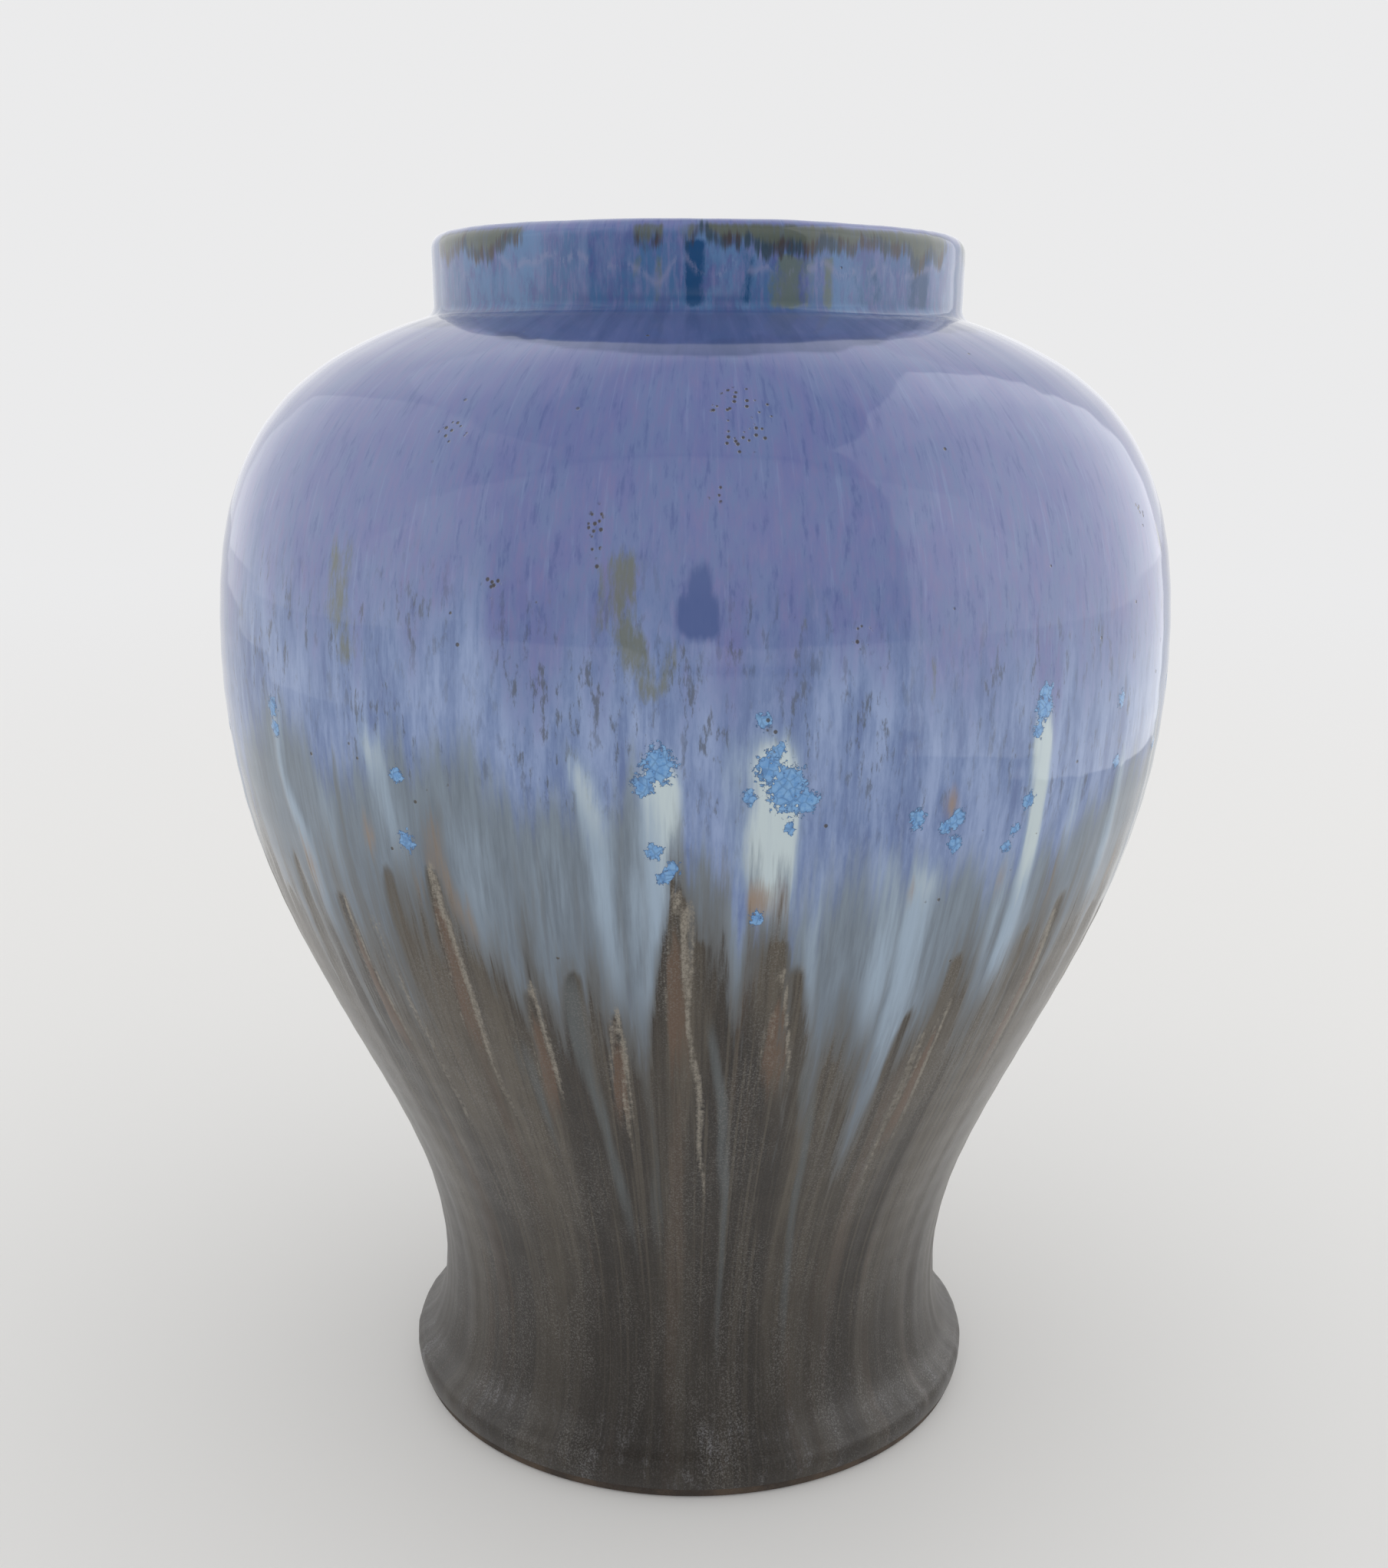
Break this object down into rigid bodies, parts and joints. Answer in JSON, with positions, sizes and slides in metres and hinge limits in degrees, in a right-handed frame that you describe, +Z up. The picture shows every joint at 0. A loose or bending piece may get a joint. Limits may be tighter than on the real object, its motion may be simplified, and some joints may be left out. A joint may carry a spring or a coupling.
{
  "type": "stoneware vase",
  "caption": "Wide-bellied stoneware baluster vase with a short straight neck, rolled lip and flared foot, glossy blue run glaze over matt gunmetal glaze.",
  "frame": {"origin": "centre of the foot ring on the surface that the vase stands on", "axes": "+Z up along the turning axis to the mouth; +X and +Y across it, with -Y towards the side that carries the broad white drips"},
  "size_m": [0.2618, 0.2618, 0.33],
  "materials": {
    "fired_clay": "unglazed, dry",
    "joining_slip": "unglazed, dry",
    "gunmetal_glaze": "satin matt, streaked",
    "flambe_glaze": "glossy, mottled and run",
    "liner_glaze": "semi-gloss"
  },
  "bodies": {
    "root": {"foot_section": "fired_clay", "waist_section": "fired_clay", "belly_section": "fired_clay", "shoulder_section": "fired_clay", "neck_collar": "fired_clay", "foot_slip_ring": "joining_slip", "waist_slip_ring": "joining_slip", "belly_slip_ring": "joining_slip", "neck_slip_ring": "joining_slip", "gunmetal_glaze_coat": "gunmetal_glaze", "flambe_glaze_coat": "flambe_glaze", "interior_glaze_liner": "liner_glaze"}
  },
  "joints": []
}
